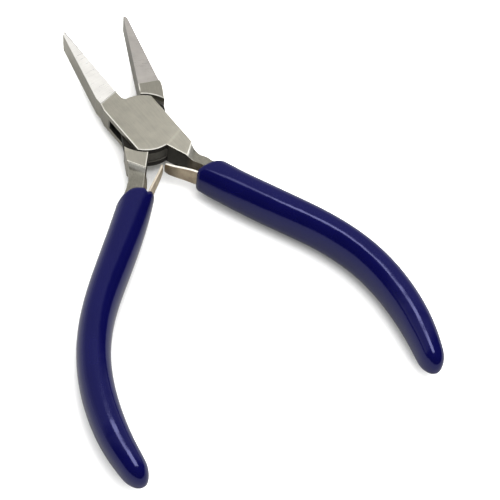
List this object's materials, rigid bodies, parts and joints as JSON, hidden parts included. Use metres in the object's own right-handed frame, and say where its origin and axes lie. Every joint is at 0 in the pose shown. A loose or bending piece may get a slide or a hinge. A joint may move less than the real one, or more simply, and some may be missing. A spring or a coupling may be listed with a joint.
{
  "type": "flat nose pliers",
  "caption": "Box-joint flat nose pliers with tapered smooth jaws, double leaf springs between the handles and dipped vinyl grips.",
  "frame": {"origin": "on the pivot axis, at the underside of the joint", "axes": "+Y towards the jaw tips along the line halfway between the jaws, +X towards the handle of the box half, +Z along the pivot axis, up through the joint"},
  "size_m": [0.0728, 0.1077, 0.0104],
  "materials": {
    "tool_steel": "ground and satin polished forging, jaws brighter",
    "spring_steel": "hardened strip with a faint straw tint",
    "rivet_steel": "plain, hidden inside the grip",
    "vinyl": "glossy dark blue dipped vinyl"
  },
  "bodies": {
    "box_side": {"box_half": "tool_steel", "pivot_pin": "tool_steel", "rivet_box": "rivet_steel", "grip_box": "vinyl"},
    "lap_side": {"lap_half": "tool_steel", "rivet_lap": "rivet_steel", "grip_lap": "vinyl"},
    "leaf_box": {"spring_box": "spring_steel"},
    "leaf_lap": {"spring_lap": "spring_steel"}
  },
  "joints": [
    {"name": "pivot", "type": "hinge", "parent": "box_side", "child": "lap_side", "pos_m": [0, 0, 0], "axis": [0, 0, 1], "range_deg": [-6, 26.3], "stiffness_Nm_per_rad": 0.2},
    {"name": "leaf_box_flex", "type": "hinge", "parent": "box_side", "child": "leaf_box", "pos_m": [0.01016, -0.02156, 0.0029], "axis": [0, 0, 1], "range_deg": [-11.2, 2.8], "deforming": ["spring_box"]},
    {"name": "leaf_lap_flex", "type": "hinge", "parent": "lap_side", "child": "leaf_lap", "pos_m": [-0.01016, -0.02156, 0.0029], "axis": [0, 0, 1], "range_deg": [-2.8, 11.2], "deforming": ["spring_lap"]}
  ],
  "couplings": [
    {"joint": "leaf_box_flex", "follows": "pivot", "ratio": -0.417},
    {"joint": "leaf_lap_flex", "follows": "pivot", "ratio": 0.417}
  ]
}
